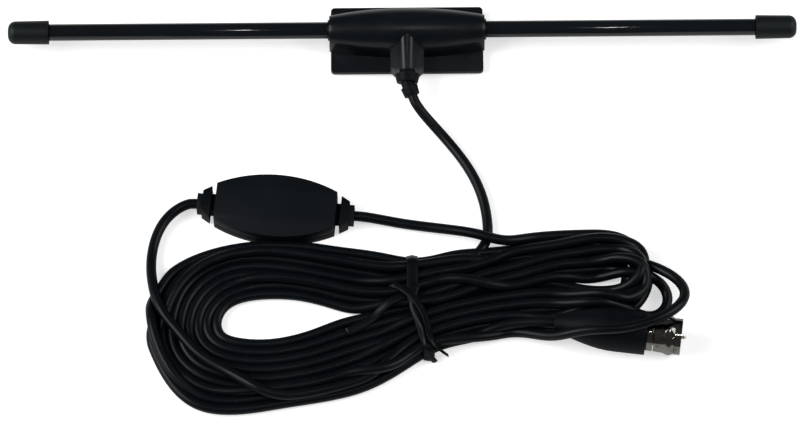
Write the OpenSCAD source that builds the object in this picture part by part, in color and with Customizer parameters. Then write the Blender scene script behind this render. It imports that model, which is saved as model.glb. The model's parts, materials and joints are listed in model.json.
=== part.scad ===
// Small stick-on dipole antenna with an amplifier in its cable and a screw-on plug.
// The origin is the centre of the adhesive face. X runs along the rods, Z points away from the glass.

/* [Base plate] */
// Width of the base plate along the rods
plate_w = 48.4; // [44:0.2:60]
// Depth of the base plate across the rods
plate_d = 23; // [20:0.5:30]
// Thickness of the base plate
plate_t = 1.6; // [1.2:0.1:2.4]
// Corner radius of the base plate
plate_r = 1.3; // [0.5:0.1:3]
// Thickness of the adhesive pad
pad_t = 1; // [0.6:0.1:2]
// Distance from the plate's edge to the pad's edge
pad_inset = 1.2; // [0.5:0.1:3]
// Height of the posts that carry the balun board
post_h = 1.2; // [0.6:0.1:2]
// Radius of the posts that carry the balun board
post_r = 1.1; // [0.8:0.1:1.5]
// Distance between the two posts
post_gap = 18; // [14:0.5:22]

/* [Head cover] */
// Radius of the barrel at its middle
barrel_mid_r = 6.9; // [6.2:0.1:7.6]
// Radius of the barrel at its ends
barrel_end_r = 4.6; // [4.2:0.1:5.4]
// Length of the barrel, which just overhangs the plate
barrel_l = 49.2; // [46:0.2:60]
// Height of the barrel's axis above the base plate
barrel_h = 5.9; // [5:0.1:7]
// Distance of the barrel's axis behind the middle of the plate
barrel_back = 0.5; // [0:0.1:1.5]
// Wall thickness of the cover
cover_wall = 1.3; // [1:0.1:1.6]
// Depth of each rod socket
socket_l = 10; // [7:0.5:12]
// Width of the low rim round each rod socket
rim_w = 0.6; // [0.3:0.1:1.2]
// Distance that the rim stands out from the barrel's end
rim_out = 0.5; // [0.3:0.1:1]

/* [Cable stem] */
// Width of the stem block
stem_w = 10.6; // [9:0.2:13]
// Distance from the plate's middle to the front of the stem block
stem_front = 13.4; // [12.5:0.1:15]
// Chamfer of the two front corners of the stem block
stem_corner = 1.5; // [0.5:0.1:2]
// Outer radius of the half-round cable boss
boss_r = 2.55; // [2.4:0.05:3]
// Distance from the plate's middle to the mouth of the boss
boss_front = 14; // [13.8:0.1:16]
// Height of the boss's mouth above the base plate
boss_h = 6.3; // [5.8:0.1:7]
// Angle at which the boss falls towards its mouth
boss_tilt = 13; // [8:1:16]

/* [Rods and caps] */
// Distance from the plate's middle to the tip of the left cap
left_reach = 126.5; // [90:0.5:180]
// Distance from the plate's middle to the tip of the right cap
right_reach = 123.5; // [90:0.5:180]
// Outer radius of each rod
rod_r = 2.65; // [2.3:0.05:2.9]
// Wall thickness of each rod
rod_wall = 0.5; // [0.3:0.05:0.8]
// Outer radius of an end cap at its mouth
cap_r = 3.8; // [3.5:0.1:5]
// Length of an end cap
cap_l = 12.9; // [9:0.1:20]
// Thickness of a cap's end wall
cap_end = 1.4; // [1:0.1:2.5]
// Radius that rounds a cap's end
cap_round = 2.4; // [1:0.1:3]
// Radius that a cap loses from its mouth to its end
cap_taper = 0.15; // [0:0.05:0.4]
// Radial clearance of a push fit
push_fit = 0.05; // [0.02:0.01:0.1]

/* [Cable] */
// Radius of the cable's jacket
cable_r = 1.6; // [1.4:0.05:1.65]
// Radius of the cable's inner insulation
core_r = 0.95; // [0.7:0.05:1.1]
// Radius of the cable's inner wire
wire_r = 0.35; // [0.25:0.05:0.45]

/* [Head strain relief] */
// Radius of the first collar where it meets the boss
collar_r = 3.95; // [3.4:0.05:4.3]
// Radius of the relief's ring that continues the boss
ring_r = 2.5; // [2.3:0.05:2.8]
// Length of that ring
ring_l = 1.5; // [1:0.1:2]
// Length of the first collar
collar_l = 2.6; // [2:0.1:3.5]
// Radius that the first collar loses over its length
collar_taper = 0.6; // [0.3:0.05:0.9]
// Radius of the neck between the collars
neck_r = 2.1; // [2:0.05:2.3]
// Length of the neck between the collars
neck_l = 1.5; // [1:0.1:2.5]
// Radius of the second collar
tip_r = 2.75; // [2.6:0.05:3]
// Length of the second collar
tip_l = 2.9; // [2:0.1:4]
// Sideways turn of the second collar
tip_turn = 20; // [0:1:25]

/* [Amplifier] */
// Length of the amplifier with its strain reliefs
amp_l = 49.3; // [46:0.1:60]
// Width of the amplifier at its middle
amp_w = 21.2; // [19:0.1:26]
// Width of the amplifier at its blunt tips
amp_tip_w = 4.8; // [4.4:0.1:6]
// Height of the amplifier at its side wall
amp_h = 6.8; // [6.4:0.1:9]
// Rise of the domed top over the side wall
amp_crown = 0.7; // [0.4:0.1:1.2]
// Wall thickness of the amplifier's shells
amp_wall = 1.3; // [1:0.1:1.6]
// Length of the hollow shells between the two slots
amp_body_l = 37.8; // [35:0.1:42]
// Width of the slot between a shell and its strain relief
amp_slot = 1.4; // [1:0.1:2]
// Width of the neck that crosses the slot
amp_neck_w = 6; // [5:0.1:6.6]
// Width of the arrow-shaped relief's top step
amp_step = 0.8; // [0.4:0.1:1.2]
// Distance of the amplifier from the plate's middle along the rods
amp_left = 41.5; // [38:0.5:60]
// Distance of the amplifier in front of the plate's middle
amp_front = 59.8; // [55:0.1:60]
// Turn of the amplifier on the surface
amp_turn = -5.4; // [-8:0.1:-2]
// Thickness of both circuit boards
board_t = 1; // [0.8:0.1:1.6]

/* [Hank] */
// Height of the wound hank
hank_h = 7; // [6.4:0.1:8]
// Width of the twist tie
tie_w = 3.8; // [2.5:0.1:5]
// Thickness of the twist tie
tie_t = 0.6; // [0.4:0.1:1]
// Length of the tie's twisted end
twist_l = 11; // [7:0.5:14]

/* [Plug] */
// Outer radius of the rubber boot
boot_r = 6.8; // [6.6:0.1:7.6]
// Length of the boot's straight part
boot_straight = 9.5; // [8:0.5:12]
// Length of the boot's tapered part
boot_taper = 19; // [15:0.5:21]
// Radius of the boot at its thin end
boot_tip_r = 2.7; // [2.4:0.1:3.2]
// Radius of the plug body's collar
plug_collar_r = 5.3; // [4.9:0.1:5.6]
// Thickness of the plug body's collar
plug_collar_t = 2.2; // [1.5:0.1:3]
// Width across the flats of the coupling nut
nut_flats = 11; // [10.8:0.1:11.4]
// Length of the coupling nut
nut_l = 8.4; // [7.6:0.1:10]
// Length of the nut's hexagonal part
nut_hex_l = 3.4; // [2.5:0.1:4]
// Radius of the nut's round front collar
nut_front_r = 5.65; // [5.3:0.05:5.8]
// Radius of the nut's threaded bore
nut_bore_r = 4.4; // [4.2:0.05:4.6]
// Thickness of the nut's rear wall
nut_rear = 1.2; // [1:0.1:1.6]
// Radius of the body's neck on which the nut spins
spin_r = 3.4; // [3:0.05:3.6]
// Radial clearance between the nut and that neck
spin_gap = 0.06; // [0.03:0.01:0.1]
// Clearance along the axis on each side of the nut's rear wall
spin_play = 0.25; // [0.15:0.05:0.4]
// Radius of the centre pin
pin_r = 0.5; // [0.4:0.05:0.6]
// Distance that the centre pin stands out of the nut
pin_out = 1.5; // [1:0.1:3]

/* [Hidden] */

// Smoothness of small and large round surfaces
small_fn = 32;
round_fn = 64;
large_fn = 240;
// Overlap that lets a cut pass through a face
cut = 1;

// Heights in the head
plate_top = pad_t + plate_t;
barrel_z = plate_top + barrel_h;
boss_z = plate_top + boss_h;
bow = barrel_mid_r - barrel_end_r;
bow_r = (pow(barrel_l / 2, 2) + bow * bow) / (2 * bow);
cavity_l = barrel_l - 2 * socket_l;
cavity_r = barrel_mid_r - cover_wall;
cavity_bow_r = bow_r - cover_wall;
rod_fit = rod_r + push_fit;
cable_fit = cable_r + push_fit;
shank_r = cable_fit + 0.35;
shank_l = 5;

// Balun parts
board_z = plate_top + post_h;
board_top = board_z + board_t;
board_w = 2 * (cavity_r - 1);
board_l = cavity_l - 3;
contact_plug_l = 5;
contact_gap = 0.05;
tag_t = 0.5;
tag_w = 3;
core_outer = 2.4;
core_inner = 1.1;
core_h = 2;
wire_y = barrel_back - cavity_r + 1.5;
cable_end_l = (boss_front + wire_y + 0.5) / cos(boss_tilt);
boss_bore_end = cable_end_l + 0.4;

// Amplifier, in its own frame with X along the cable
amp_z = amp_h / 2;
amp_bulge = (amp_w - amp_tip_w) / 2;
amp_arc_r = (pow(amp_l / 2, 2) + amp_bulge * amp_bulge) / (2 * amp_bulge);
amp_crown_r = (pow(amp_w / 2, 2) + amp_crown * amp_crown) / (2 * amp_crown);
lip_h = 0.8;
lip_t = 0.6;
lip_gap = 0.1;
shell_gap = 0.02;
flange_t = 1.2;
flange_w = amp_neck_w + 2.4;
amp_neck_h = amp_h - 2 * amp_wall - 0.2;
neck_gap = 0.05;
relief_drop = 0.4;
solder_gap = 0.05;
amp_board_top = amp_z - wire_r - solder_gap;
amp_board_z = amp_board_top - board_t;
rib_h = amp_board_z - amp_wall;
amp_board_l = amp_body_l - 2 * amp_wall - 2 * flange_t - 4.6;
amp_board_w = amp_w - 2 * amp_wall - 5.6;

// Hank outline: each circle is x, y, radius
hank_left = [[-56, -99.5, 26], [-38, -98.4, 27.2], [1, -94, 18]];
hank_right = [[1, -94, 18], [56, -84, 18.5]];
hank_eye = [[-50, -96.5, 6], [-35, -96, 6], [-24, -96, 2.5]];
tie_x = 1;
tie_y = -94;
tie_reach = 18;
tie_gap = 0.3;
twist_w = 2.2;
twist_t = 0.9;
twist_turn = -62;
twist_y = 7;

// Plug, in its own frame with Z along its axis
plug_x = 73;
plug_y = -104.3;
plug_turn = -7.5;
plug_z = boot_r;
boot_l = boot_straight + boot_taper;
boot_steps = 8;
ferrule_l = 12;
ferrule_wall = 0.6;
tail_l = 7;
tail_r = cable_r + 0.1;
nut_z = plug_collar_t + spin_play;
flange_z = nut_z + nut_rear + spin_play;
flange_l = 1.2;
nut_corner_r = nut_flats / 2 / cos(30);
nut_round_r = nut_corner_r - 0.25;
nut_cone_l = nut_l - nut_hex_l - 2;
nut_front_l = nut_l - nut_cone_l - nut_hex_l;
insulator_r = core_r;
boot_gap = 0.4;

// Mouths of the strain reliefs, and the straight piece of free cable that starts at each
tip_reach = neck_l + tip_l;
start_l = 2.6;
head_way = [sin(tip_turn), -cos(tip_turn) * cos(boss_tilt), -cos(tip_turn) * sin(boss_tilt)];
head_mouth = [0, -boss_front, boss_z] - (ring_l + collar_l) * [0, cos(boss_tilt), sin(boss_tilt)]
    + tip_reach * head_way;
head_start = [head_mouth, head_mouth + start_l * head_way];
function amp_start(side) = [for (l = [amp_l / 2, amp_l / 2 + start_l])
    [-amp_left + side * l * cos(amp_turn), -amp_front + side * l * sin(amp_turn), amp_z]];

// Routes of the free cable from there on, each point x, y, height
head_route = [[4.7, -27.4, 4.9], [7.6, -30.2, 3.5], [10.6, -33.4, 2.4],
    [13.6, -37, 1.8], [16.8, -41.4, 1.7], [19.6, -46, 1.7], [21.9, -51, 1.7], [23.6, -56.2, 1.7],
    [24.5, -61.4, 1.7], [24.8, -66.2, 1.7], [24.8, -70.8, 1.7]];
amp_right_route = [[-9, -63, 2.7], [-3, -64.1, 2], [3.5, -65.1, 2], [10, -66.3, 2.6],
    [16, -67.7, 3.8], [22, -69.4, 5.1], [28, -71.6, 5.3]];
amp_left_route = [[-71.6, -58.2, 3], [-74.9, -60.8, 2.6], [-77.3, -64, 2.2],
    [-79, -68, 1.9], [-80.1, -73, 1.8], [-80.4, -78, 2.2], [-80, -83, 3.6], [-79, -88, 5]];
loop_route = [[66, -78, 5], [71.8, -79.6, 6], [77.4, -82.4, 7], [82.2, -86, 8.4], [85, -90.4, 10.4],
    [85.4, -94.6, 12.6], [83, -98.6, 14.4], [78.6, -102, 15.2], [73.4, -104.4, 15.6], [68, -106, 15.4],
    [62.4, -106.4, 14.9], [57, -106, 14.2], [51.8, -105.8, 12.4], [47, -105.8, 9.4],
    [43.2, -105.2, 6.4], [39.6, -103.6, 4.6]];

// Rings of points square to a route
function unit(v) = v / norm(v);
function heading(line, i) = unit(line[min(i + 1, len(line) - 1)] - line[max(i - 1, 0)]);
function side_of(h) = unit(cross(h, [0, 0, 1]));
function ring_points(line, i, r, sides) = [for (k = [0 : sides - 1])
    let (h = heading(line, i), s = side_of(h), u = cross(s, h), a = 360 * k / sides)
    line[i] + r * (cos(a) * s + sin(a) * u)];

// Cable along a route, closed at both ends
module cable_tube(route) {
    sides = 8;
    rings = len(route);
    points = [for (i = [0 : rings - 1]) each ring_points(route, i, cable_r, sides)];
    walls = [for (i = [0 : rings - 2]) for (k = [0 : sides - 1])
        [i * sides + k, i * sides + (k + 1) % sides, (i + 1) * sides + (k + 1) % sides, (i + 1) * sides + k]];
    start = [[for (k = [sides - 1 : -1 : 0]) k]];
    end = [[for (k = [0 : sides - 1]) (rings - 1) * sides + k]];
    polyhedron(points, concat(walls, start, end));
}

// Plan of the bowed barrel: an arc on each side, square ends
module bowed_plan(mid, arc_r, l) {
    intersection() {
        translate([0, mid - arc_r]) circle(r = arc_r, $fn = large_fn);
        translate([0, arc_r - mid]) circle(r = arc_r, $fn = large_fn);
        square([l, 2 * mid + cut], center = true);
    }
}

// Bowed barrel turned about the X axis
module bowed_barrel(mid, arc_r, l) {
    rotate([0, 90, 0]) rotate_extrude($fn = round_fn) intersection() {
        translate([mid - arc_r, 0]) circle(r = arc_r, $fn = large_fn);
        translate([0, -l / 2]) square([mid, l]);
    }
}

// Barrel on upright walls down to the plate
module barrel_on_walls(mid, arc_r, l, h) {
    intersection() {
        bowed_barrel(mid, arc_r, l);
        translate([-l / 2 - cut, -mid - cut, 0]) cube([l + 2 * cut, 2 * (mid + cut), mid + cut]);
    }
    translate([0, 0, -h]) linear_extrude(h) bowed_plan(mid, arc_r, l);
}

module at_barrel() {
    translate([0, barrel_back, barrel_z]) children();
}

// Frame at the boss's mouth: Z points out along the cable, Y up
module at_boss() {
    translate([0, -boss_front, boss_z]) rotate([90 + boss_tilt, 0, 0]) children();
}

// Section of the stem across the boss: a half-round ridge on sloping shoulders
module stem_section() {
    circle(r = boss_r, $fn = round_fn);
    polygon([[-stem_w / 2, -12], [stem_w / 2, -12], [stem_w / 2, -2.2], [boss_r * 0.82, 1.4],
        [-boss_r * 0.82, 1.4], [-stem_w / 2, -2.2]]);
}

// Plan that limits the stem block
module stem_plan() {
    polygon([[-stem_w / 2, 0], [-stem_w / 2, -stem_front + stem_corner],
        [-stem_w / 2 + stem_corner, -stem_front], [stem_w / 2 - stem_corner, -stem_front],
        [stem_w / 2, -stem_front + stem_corner], [stem_w / 2, 0]]);
}

module stem() {
    intersection() {
        at_boss() translate([0, 0, -boss_front]) linear_extrude(boss_front + cut) stem_section();
        translate([0, 0, plate_top]) linear_extrude(barrel_mid_r * 3) stem_plan();
    }
    at_boss() translate([0, 0, -boss_front + 2]) cylinder(r = boss_r, h = boss_front - 2, $fn = round_fn);
}

module adhesive_pad() {
    color("dimgray") linear_extrude(pad_t) offset(r = plate_r, $fn = small_fn)
        square([plate_w - 2 * pad_inset - 2 * plate_r, plate_d - 2 * pad_inset - 2 * plate_r], center = true);
}

module base_plate() {
    color([0.09, 0.1, 0.11]) {
        translate([0, 0, pad_t]) linear_extrude(plate_t) union() {
            square([plate_w - 2 * plate_r, plate_d], center = true);
            square([plate_w, plate_d - 2 * plate_r], center = true);
            for (x = [-1, 1], y = [-1, 1])
                translate([x * (plate_w / 2 - plate_r), y * (plate_d / 2 - plate_r)])
                    circle(r = plate_r, $fn = small_fn);
        }
        for (x = [-1, 1]) translate([x * post_gap / 2, barrel_back, plate_top])
            cylinder(r = post_r, h = post_h, $fn = small_fn);
    }
}

module head_cover() {
    color([0.08, 0.09, 0.1]) difference() {
        union() {
            at_barrel() barrel_on_walls(barrel_mid_r, bow_r, barrel_l, barrel_h);
            at_barrel() rotate([0, 90, 0]) cylinder(r = rod_fit + rim_w, h = barrel_l + 2 * rim_out,
                center = true, $fn = round_fn);
            stem();
        }
        at_barrel() barrel_on_walls(cavity_r, cavity_bow_r, cavity_l, barrel_h + cut);
        at_barrel() rotate([0, 90, 0]) cylinder(r = rod_fit, h = barrel_l + 4 * cut + 2 * rim_out,
            center = true, $fn = round_fn);
        at_boss() translate([0, 0, -boss_bore_end]) cylinder(r = shank_r + push_fit, h = boss_front,
            $fn = round_fn);
    }
}

// Rod along X from its inner end to its tip, on one side of the head
module rod(side, reach) {
    color([0.05, 0.05, 0.05]) at_barrel() rotate([0, side * 90, 0]) translate([0, 0, cavity_l / 2])
        difference() {
            cylinder(r = rod_r, h = reach - cap_end - cavity_l / 2, $fn = round_fn);
            translate([0, 0, -cut]) cylinder(r = rod_r - rod_wall, h = reach, $fn = round_fn);
        }
}

module left_rod() { rod(-1, left_reach); }
module right_rod() { rod(1, right_reach); }

// Section of an end cap: straight side with a slight taper, rounded end
module cap_section() {
    end_r = cap_r - cap_taper;
    polygon([[0, 0], [cap_r, 0], [end_r, cap_l - cap_round], [0, cap_l - cap_round]]);
    translate([0, cap_l - cap_round - 0.01]) square([end_r - cap_round, cap_round + 0.01]);
    intersection() {
        translate([end_r - cap_round, cap_l - cap_round]) circle(r = cap_round, $fn = round_fn);
        translate([0, cap_l - cap_round - 0.01]) square([cap_r, cap_round + 0.01]);
    }
}

module end_cap(side, reach) {
    color([0.06, 0.06, 0.06]) at_barrel() rotate([0, side * 90, 0]) translate([0, 0, reach - cap_l])
        difference() {
            rotate_extrude($fn = round_fn) cap_section();
            translate([0, 0, -cut]) cylinder(r = rod_fit, h = cap_l - cap_end + cut, $fn = round_fn);
        }
}

module left_end_cap() { end_cap(-1, left_reach); }
module right_end_cap() { end_cap(1, right_reach); }

// Plug in the rod's inner end with a tag down to the board
module contact(side) {
    plug_r = rod_r - rod_wall - contact_gap;
    tag_x = cavity_l / 2 - 1;
    color("goldenrod") {
        at_barrel() rotate([0, side * 90, 0]) translate([0, 0, tag_x])
            cylinder(r = plug_r, h = contact_plug_l, $fn = round_fn);
        translate([side * (tag_x - tag_t / 2), barrel_back, board_top])
            translate([-tag_t / 2, -tag_w / 2, 0]) cube([tag_t, tag_w, barrel_z + 1 - board_top]);
    }
}

module left_contact() { contact(-1); }
module right_contact() { contact(1); }

module balun_board() {
    color("darkgreen") translate([-board_l / 2, barrel_back - board_w / 2, board_z])
        cube([board_l, board_w, board_t]);
}

module balun_core() {
    color("gray") translate([-board_l / 4, barrel_back, board_top]) rotate_extrude($fn = round_fn)
        translate([core_inner, 0]) square([core_outer - core_inner, core_h]);
}

// Way of the cable through the relief: straight, then turned with the second collar and a touch thinner
module relief_way(r, inner_l, outer_l) {
    first_l = ring_l + collar_l;
    knee_l = 0.8 * r * tan(tip_turn / 2);
    translate([0, 0, -inner_l]) cylinder(r = r, h = inner_l + first_l + knee_l, $fn = round_fn);
    translate([0, 0, first_l]) rotate([0, tip_turn, 0]) translate([0, 0, -knee_l])
        cylinder(r = r - 0.02, h = outer_l + knee_l, $fn = round_fn);
}

// Stripped cable from the relief's mouth inwards, with its wire bent down to the board
module head_cable_end() {
    wire_z = boss_z + (boss_front + wire_y) * tan(boss_tilt);
    color([0.1, 0.1, 0.1]) {
        at_boss() relief_way(cable_r, cable_end_l, tip_reach);
        translate([0, wire_y, board_top]) cylinder(r = wire_r, h = wire_z - board_top, $fn = small_fn);
    }
}

// Collars joined by a thin neck, the last one turned towards the lead
module head_strain_relief() {
    first_l = ring_l + collar_l;
    color([0.06, 0.06, 0.07]) at_boss() difference() {
        union() {
            translate([0, 0, -shank_l]) cylinder(r = shank_r, h = shank_l + cut, $fn = round_fn);
            cylinder(r = ring_r, h = ring_l, $fn = round_fn);
            translate([0, 0, ring_l]) cylinder(r1 = collar_r, r2 = collar_r - collar_taper, h = collar_l,
                $fn = round_fn);
            translate([0, 0, first_l]) rotate([0, tip_turn, 0]) {
                sphere(r = neck_r, $fn = round_fn);
                cylinder(r = neck_r, h = neck_l, $fn = round_fn);
                translate([0, 0, neck_l]) cylinder(r1 = tip_r, r2 = tip_r - 0.3, h = tip_l, $fn = round_fn);
            }
        }
        relief_way(cable_fit, shank_l + cut, tip_reach + cut);
    }
}

module head_lead() { color([0.04, 0.04, 0.04]) cable_tube(concat(head_start, head_route)); }

module at_amp() {
    translate([-amp_left, -amp_front, 0]) rotate([0, 0, amp_turn]) children();
}

// Plan of the amplifier: two arcs and blunt tips, drawn in by an inset
module lens_plan(inset, half_l) {
    intersection() {
        translate([0, amp_w / 2 - amp_arc_r]) circle(r = amp_arc_r - inset, $fn = large_fn);
        translate([0, amp_arc_r - amp_w / 2]) circle(r = amp_arc_r - inset, $fn = large_fn);
        square([2 * half_l, amp_w + cut], center = true);
    }
}

// Domed block over the lens plan
module domed_lens(inset, half_l, drop) {
    intersection() {
        linear_extrude(amp_h + amp_crown) lens_plan(inset, half_l);
        translate([0, 0, amp_h + amp_crown - drop - amp_crown_r]) rotate([0, 90, 0])
            cylinder(r = amp_crown_r, h = 2 * half_l + cut, center = true, $fn = large_fn);
    }
}

// Opening for the neck of a strain relief
module neck_opening(side) {
    translate([side * amp_body_l / 2, 0, amp_z])
        cube([2 * amp_wall + cut, amp_neck_w + 2 * neck_gap, amp_neck_h + 2 * neck_gap], center = true);
}

module amp_cavity() {
    intersection() {
        domed_lens(amp_wall, amp_body_l / 2 - amp_wall, amp_wall);
        translate([-amp_l / 2, -amp_w / 2, amp_wall]) cube([amp_l, amp_w, amp_h]);
    }
}

// Step where the two shells lock into each other
module lip(inset, h) {
    translate([0, 0, amp_z - cut]) linear_extrude(h + cut)
        lens_plan(amp_wall - inset, amp_body_l / 2 - amp_wall + inset);
}

module amp_lower_shell() {
    rib_x = amp_board_l / 2 - 2;
    color([0.08, 0.09, 0.1]) at_amp() {
        difference() {
            union() {
                linear_extrude(amp_z - shell_gap) lens_plan(0, amp_body_l / 2);
                intersection() {
                    lip(lip_t - lip_gap, lip_h);
                    linear_extrude(amp_h) lens_plan(0, amp_body_l / 2 - amp_wall + lip_t - lip_gap);
                }
            }
            amp_cavity();
            for (side = [-1, 1]) neck_opening(side);
        }
        for (x = [-rib_x, rib_x]) translate([x - 0.5, -amp_board_w / 2, amp_wall - 0.01])
            cube([1, amp_board_w, rib_h + 0.01]);
    }
}

module amp_upper_shell() {
    color([0.08, 0.09, 0.1]) at_amp() difference() {
        intersection() {
            domed_lens(0, amp_body_l / 2, 0);
            translate([-amp_l / 2, -amp_w, amp_z]) cube([amp_l, 2 * amp_w, amp_h]);
        }
        amp_cavity();
        lip(lip_t, lip_h + lip_gap);
        for (side = [-1, 1]) neck_opening(side);
    }
}

// Arrow-shaped relief: it continues the lens beyond the slot, on a flanged neck
module amp_relief(side) {
    slot_end = amp_body_l / 2 + amp_slot;
    flange_x = amp_body_l / 2 - amp_wall - neck_gap - flange_t;
    color([0.06, 0.06, 0.07]) at_amp() mirror([side < 0 ? 1 : 0, 0, 0]) difference() {
        union() {
            intersection() {
                translate([0, 0, relief_drop]) linear_extrude(amp_h - 2 * relief_drop)
                    lens_plan(0, amp_l / 2);
                translate([slot_end, -amp_w / 2, 0]) cube([amp_l, amp_w, amp_h]);
            }
            translate([flange_x, -amp_neck_w / 2, amp_z - amp_neck_h / 2])
                cube([slot_end - flange_x + cut, amp_neck_w, amp_neck_h]);
            translate([flange_x, -flange_w / 2, amp_z - amp_neck_h / 2])
                cube([flange_t, flange_w, amp_neck_h]);
        }
        translate([flange_x - cut, 0, amp_z]) rotate([0, 90, 0])
            cylinder(r = cable_fit, h = amp_l, $fn = round_fn);
        for (y = [-1, 1]) translate([amp_l / 2 - amp_step, y * amp_tip_w, amp_z])
            cube([2 * amp_step, amp_tip_w, amp_h], center = true);
    }
}

module amp_left_relief() { amp_relief(-1); }
module amp_right_relief() { amp_relief(1); }

module amp_board() {
    color("darkgreen") at_amp() translate([-amp_board_l / 2, -amp_board_w / 2, amp_board_z])
        cube([amp_board_l, amp_board_w, board_t]);
}

module amp_chip() {
    chip = [4, 4, 1.1];
    color("black") at_amp() translate([-chip[0] / 2, -chip[1] / 2, amp_board_top]) cube(chip);
}

module amp_capacitors() {
    size = [1.6, 0.8, 0.8];
    color("tan") at_amp() for (x = [-7, 5.4], y = [-3.6, 2.8])
        translate([x, y, amp_board_top]) cube(size);
}

module amp_choke() {
    color("sienna") at_amp() translate([-9.6, 0, amp_board_top]) {
        cylinder(r = 1.5, h = 0.4, $fn = small_fn);
        cylinder(r = 0.9, h = 1.8, $fn = small_fn);
        translate([0, 0, 1.4]) cylinder(r = 1.5, h = 0.4, $fn = small_fn);
    }
}

// Stripped cable inside the amplifier, from the tip to the board
module amp_cable_end(side) {
    jacket_end = amp_board_l / 2 + 0.4;
    wire_end = amp_board_l / 2 - 2;
    color([0.1, 0.1, 0.1]) at_amp() mirror([side < 0 ? 1 : 0, 0, 0]) translate([0, 0, amp_z]) rotate([0, 90, 0]) {
        translate([0, 0, jacket_end]) cylinder(r = cable_r, h = amp_l / 2 - jacket_end, $fn = small_fn);
        translate([0, 0, wire_end]) cylinder(r = wire_r, h = jacket_end - wire_end + cut, $fn = small_fn);
    }
}

module amp_left_cable_end() { amp_cable_end(-1); }
module amp_right_cable_end() { amp_cable_end(1); }
module amp_left_lead() { color([0.04, 0.04, 0.04]) cable_tube(concat(amp_start(-1), amp_left_route)); }
module amp_right_lead() { color([0.04, 0.04, 0.04]) cable_tube(concat(amp_start(1), amp_right_route)); }

module rounded_lobe(circles) {
    hull() for (c = circles) translate([c[0], c[1]]) circle(r = c[2], $fn = small_fn);
}

// Outline of the wound cable, wide on the left and drawn in at the tie
module cable_hank() {
    color([0.05, 0.05, 0.05]) difference() {
        linear_extrude(hank_h) difference() {
            union() {
                rounded_lobe(hank_left);
                rounded_lobe(hank_right);
            }
            rounded_lobe(hank_eye);
        }
        at_plug() translate([0, 0, -boot_l]) cylinder(r = boot_r + boot_gap, h = 2 * boot_l, $fn = round_fn);
        tie_groove();
    }
}

// Channel round the waist where the tie draws the cable in
module tie_groove() {
    depth = tie_t + tie_gap;
    translate([tie_x - tie_w / 2 - tie_gap, tie_y, 0]) difference() {
        translate([0, -2 * tie_reach, -cut]) cube([tie_w + 2 * tie_gap, 4 * tie_reach, hank_h + 2 * cut]);
        translate([-cut, -tie_reach + depth, depth])
            cube([tie_w + 2 * tie_gap + 2 * cut, 2 * (tie_reach - depth), hank_h - 2 * depth]);
    }
}

module outer_loop() { color([0.04, 0.04, 0.04]) cable_tube(loop_route); }

// Flat band round the waist with a twisted end
module twist_tie() {
    color([0.05, 0.05, 0.06]) {
        translate([tie_x - tie_w / 2, tie_y, 0]) difference() {
            translate([0, -tie_reach, 0]) cube([tie_w, 2 * tie_reach, hank_h]);
            translate([-cut, -tie_reach + tie_t, tie_t])
                cube([tie_w + 2 * cut, 2 * (tie_reach - tie_t), hank_h - 2 * tie_t]);
        }
        translate([tie_x, tie_y + twist_y, hank_h]) rotate([0, 0, twist_turn]) {
            translate([-twist_w / 2, -twist_w / 2, 0]) cube([twist_w, twist_w, twist_w]);
            translate([0, 0, twist_w / 2 + 0.1]) rotate([0, 90, 0])
                linear_extrude(twist_l, twist = 720, slices = 24) square([twist_w, twist_t], center = true);
        }
    }
}

// Frame at the front of the boot: Z points out along the plug's axis
module at_plug() {
    translate([plug_x, plug_y, plug_z]) rotate([0, 0, plug_turn]) rotate([0, 90, 0]) children();
}

// Half section of the boot: straight, then a rounded taper to the cable
module boot_section() {
    polygon(concat([[0, 0], [boot_r, 0]], [for (i = [0 : boot_steps])
        let (t = i / boot_steps)
        [boot_tip_r + (boot_r - boot_tip_r) * pow(cos(90 * t), 1.2), -boot_straight - boot_taper * t]],
        [[0, -boot_l]]));
}

module connector_boot() {
    color([0.06, 0.06, 0.07]) at_plug() difference() {
        rotate_extrude($fn = round_fn) boot_section();
        translate([0, 0, -ferrule_l - push_fit]) cylinder(r = tail_r + push_fit + ferrule_wall + push_fit,
            h = ferrule_l + push_fit + cut, $fn = round_fn);
        translate([0, 0, -boot_l - cut]) cylinder(r = cable_fit, h = boot_l + cut, $fn = round_fn);
    }
}

module crimp_ferrule() {
    color("silver") at_plug() translate([0, 0, -ferrule_l]) difference() {
        cylinder(r = tail_r + push_fit + ferrule_wall, h = ferrule_l - push_fit, $fn = round_fn);
        translate([0, 0, -cut]) cylinder(r = tail_r + push_fit, h = ferrule_l + 2 * cut, $fn = round_fn);
    }
}

// Collar, neck and retaining flange turned in one piece on the crimp tail
module connector_body() {
    bore_r = insulator_r + push_fit;
    color("silver") at_plug() difference() {
        union() {
            translate([0, 0, -tail_l]) cylinder(r = tail_r, h = tail_l + cut, $fn = round_fn);
            cylinder(r = plug_collar_r, h = plug_collar_t, $fn = round_fn);
            cylinder(r = spin_r, h = flange_z + cut, $fn = round_fn);
            translate([0, 0, flange_z]) cylinder(r = nut_bore_r - 0.3, h = flange_l, $fn = round_fn);
        }
        translate([0, 0, -tail_l - cut]) cylinder(r = bore_r, h = boot_l * 2, $fn = round_fn);
    }
}

module plug_cable_end() {
    color([0.1, 0.1, 0.1]) at_plug() translate([0, 0, -boot_l])
        cylinder(r = cable_r, h = boot_l - tail_l - push_fit, $fn = small_fn);
}

module plug_insulator() {
    color("white") at_plug() translate([0, 0, -tail_l]) difference() {
        cylinder(r = insulator_r, h = tail_l + flange_z + flange_l, $fn = small_fn);
        translate([0, 0, -cut]) cylinder(r = pin_r + 0.02, h = boot_l * 2, $fn = small_fn);
    }
}

module center_pin() {
    tip = 0.8;
    tip_z = nut_z + nut_l + pin_out;
    color("gold") at_plug() {
        translate([0, 0, -tail_l]) cylinder(r = pin_r, h = tail_l + tip_z - tip, $fn = small_fn);
        translate([0, 0, tip_z - tip]) cylinder(r1 = pin_r, r2 = pin_r / 3, h = tip, $fn = small_fn);
    }
}

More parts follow.
